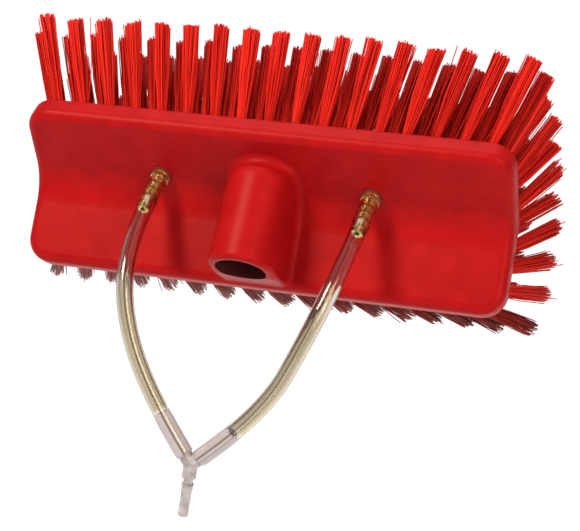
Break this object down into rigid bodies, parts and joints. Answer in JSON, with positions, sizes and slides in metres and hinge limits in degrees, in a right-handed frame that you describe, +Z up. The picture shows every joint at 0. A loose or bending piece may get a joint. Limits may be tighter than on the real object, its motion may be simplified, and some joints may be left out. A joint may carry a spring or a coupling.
{
  "type": "wheel brush",
  "caption": "Wash brush head: V-bent block with fanned bristle tufts and a pole socket, and clear water hoses from brass barbs to a Y connector.",
  "frame": {"origin": "on the handle socket's axis, where its plain bore begins behind the rounded rim", "axes": "+X along the block, +Y towards the bristles, +Z up with the hoses hanging down; the socket opens down and towards -Y"},
  "size_m": [0.2978, 0.1457, 0.2399],
  "materials": {
    "block": "moulded polypropylene, satin gloss",
    "bristle": "straight crimp-free monofilament, cut ends",
    "staple": "flat stainless wire",
    "brass": "turned brass",
    "washer": "dark red fibre-rubber",
    "hose": "clear flexible vinyl",
    "connector": "natural translucent moulded plastic"
  },
  "bodies": {
    "root": {"brush_block": "block", "bristle_row_01": "bristle", "bristle_row_02": "bristle", "bristle_row_03": "bristle", "bristle_row_04": "bristle", "bristle_row_05": "bristle", "bristle_row_06": "bristle", "bristle_row_07": "bristle", "bristle_row_08": "bristle", "bristle_row_09": "bristle", "bristle_row_10": "bristle", "bristle_row_11": "bristle", "tuft_staples": "staple", "hose_barb_left": "brass", "hose_barb_right": "brass", "barb_washer_left": "washer", "barb_washer_right": "washer", "hose_left": "hose", "hose_right": "hose", "y_connector": "connector"}
  },
  "joints": []
}
